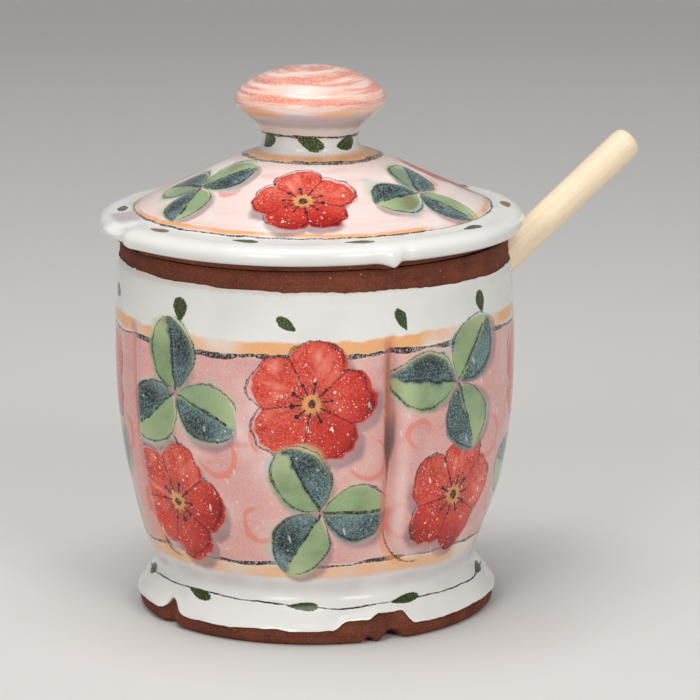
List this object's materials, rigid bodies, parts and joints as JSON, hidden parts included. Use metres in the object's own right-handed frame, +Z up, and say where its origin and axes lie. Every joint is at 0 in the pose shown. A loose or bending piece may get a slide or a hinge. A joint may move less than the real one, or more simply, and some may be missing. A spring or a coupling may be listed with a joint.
{
  "type": "honey pot",
  "caption": "Glazed earthenware honey pot with a lift-off domed lid, a mushroom knob, and a wooden dipper that leaves through a slot under the lid's rim.",
  "frame": {"origin": "centre of the foot, on the surface that the pot stands on", "axes": "+Z up; +X towards the slot in the wall that the dipper leaves through"},
  "size_m": [0.154, 0.114, 0.146],
  "materials": {
    "bare_clay": "unglazed red earthenware, matte, faint throwing lines",
    "painted_glaze": "glossy white glaze with brushed decoration under it",
    "plain_glaze": "glossy white glaze",
    "pale_wood": "sanded pale beech, bare"
  },
  "bodies": {
    "pot": {"pot_body": "bare_clay", "pot_outer_glaze": "painted_glaze", "pot_liner_glaze": "plain_glaze"},
    "lid": {"lid_body": "bare_clay", "lid_knob": "bare_clay", "lid_glaze": "painted_glaze", "lid_liner_glaze": "plain_glaze"},
    "dipper": {"dipper": "pale_wood"}
  },
  "joints": [
    {"name": "lid_lift", "type": "slide", "parent": "pot", "child": "lid", "axis": [0, 0, 1], "range_m": [0, 0.08]},
    {"name": "dipper_slide", "type": "slide", "parent": "pot", "child": "dipper", "axis": [0.7851, 0, 0.6194], "range_m": [0, 0.045]}
  ]
}
